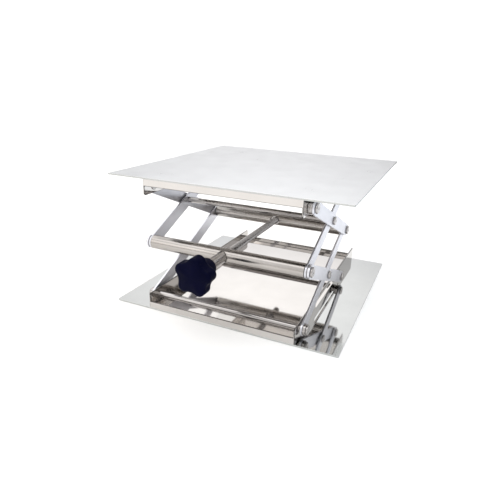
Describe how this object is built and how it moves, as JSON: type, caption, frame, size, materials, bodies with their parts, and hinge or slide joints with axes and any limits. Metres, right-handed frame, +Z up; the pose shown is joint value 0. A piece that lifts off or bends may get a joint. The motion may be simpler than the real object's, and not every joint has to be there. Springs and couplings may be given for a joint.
{
  "type": "lab jack",
  "caption": "Square two-stage scissor lab jack: two sheet plates with folded trays, flat arms, cross rods, lead screw and star knob.",
  "frame": {"origin": "middle of the underside of the base plate, on the surface that the jack stands on", "axes": "+X to the right across the arms' pivots, +Y towards the rear away from the knob, along the lead screw, +Z up"},
  "size_m": [0.2, 0.2385, 0.1141],
  "materials": {
    "plate_steel": "bright rolled stainless sheet",
    "sheet_steel": "folded stainless sheet",
    "arm_steel": "tumbled flat stainless strip",
    "bar_steel": "ground round bar",
    "plated_rod": "bright plated",
    "screw_steel": "machined thread",
    "brass": "turned",
    "knob_plastic": "satin dark blue moulded plastic"
  },
  "bodies": {
    "base": {"base_plate": "plate_steel", "base_tray": "sheet_steel", "base_front_rod": "plated_rod", "base_front_spacers": "plated_rod"},
    "lower_inner": {"lower_inner_arm_left": "arm_steel", "lower_inner_arm_right": "arm_steel", "lower_centre_rod": "plated_rod", "lower_centre_washers": "plated_rod"},
    "lower_outer": {"lower_outer_arm_left": "arm_steel", "lower_outer_arm_right": "arm_steel", "base_slide_rod": "plated_rod", "base_slide_spacers": "plated_rod"},
    "front_cross": {"front_bar": "bar_steel", "front_bar_pins": "plated_rod", "front_bar_washers": "plated_rod"},
    "rear_cross": {"rear_bar": "bar_steel", "rear_bar_pins": "plated_rod", "rear_bar_washers": "plated_rod", "screw_nut": "plated_rod"},
    "upper_inner": {"upper_inner_arm_left": "arm_steel", "upper_inner_arm_right": "arm_steel", "upper_centre_rod": "plated_rod", "upper_centre_washers": "plated_rod", "top_slide_rod": "plated_rod", "top_slide_spacers": "plated_rod"},
    "upper_outer": {"upper_outer_arm_left": "arm_steel", "upper_outer_arm_right": "arm_steel"},
    "top": {"top_plate": "plate_steel", "top_tray": "sheet_steel", "top_front_pins": "plated_rod", "top_front_spacers": "plated_rod"},
    "screw": {"lead_screw": "screw_steel", "screw_sleeve": "plated_rod", "thrust_washer": "brass", "retaining_ring": "plated_rod", "star_knob": "knob_plastic", "knob_insert": "brass", "knob_set_screw": "screw_steel"}
  },
  "joints": [
    {"name": "lift", "type": "hinge", "parent": "base", "child": "lower_inner", "pos_m": [0, -0.087, 0.0088], "axis": [1, 0, 0], "range_deg": [-13.1, 44.9]},
    {"name": "lower_cross", "type": "hinge", "parent": "lower_inner", "child": "lower_outer", "pos_m": [0, -0.03043, 0.03293], "axis": [1, 0, 0], "range_deg": [-90.1, 26.5]},
    {"name": "front_cross_level", "type": "hinge", "parent": "lower_outer", "child": "front_cross", "pos_m": [0, -0.087, 0.05706], "axis": [1, 0, 0], "range_deg": [-13.4, 45.2]},
    {"name": "rear_cross_level", "type": "hinge", "parent": "lower_inner", "child": "rear_cross", "pos_m": [0, 0.02614, 0.05706], "axis": [1, 0, 0], "range_deg": [-45.2, 13.4]},
    {"name": "upper_fold", "type": "hinge", "parent": "front_cross", "child": "upper_inner", "pos_m": [0, -0.087, 0.05706], "axis": [1, 0, 0], "range_deg": [-13.4, 45.2]},
    {"name": "upper_cross", "type": "hinge", "parent": "upper_inner", "child": "upper_outer", "pos_m": [0, -0.03043, 0.08119], "axis": [1, 0, 0], "range_deg": [-90.1, 26.5]},
    {"name": "top_level", "type": "hinge", "parent": "upper_outer", "child": "top", "pos_m": [0, -0.087, 0.10531], "axis": [1, 0, 0], "range_deg": [-13.4, 45.2]},
    {"name": "knob_turn", "type": "hinge", "parent": "front_cross", "child": "screw", "pos_m": [0, -0.132, 0.05706], "axis": [0, -1, 0], "continuous": true}
  ],
  "couplings": [
    {"joint": "lower_cross", "follows": "lift", "ratio": -2},
    {"joint": "front_cross_level", "follows": "lift", "ratio": 1},
    {"joint": "rear_cross_level", "follows": "lift", "ratio": -1},
    {"joint": "upper_fold", "follows": "lift", "ratio": 1},
    {"joint": "upper_cross", "follows": "lift", "ratio": -2},
    {"joint": "top_level", "follows": "lift", "ratio": 1}
  ]
}
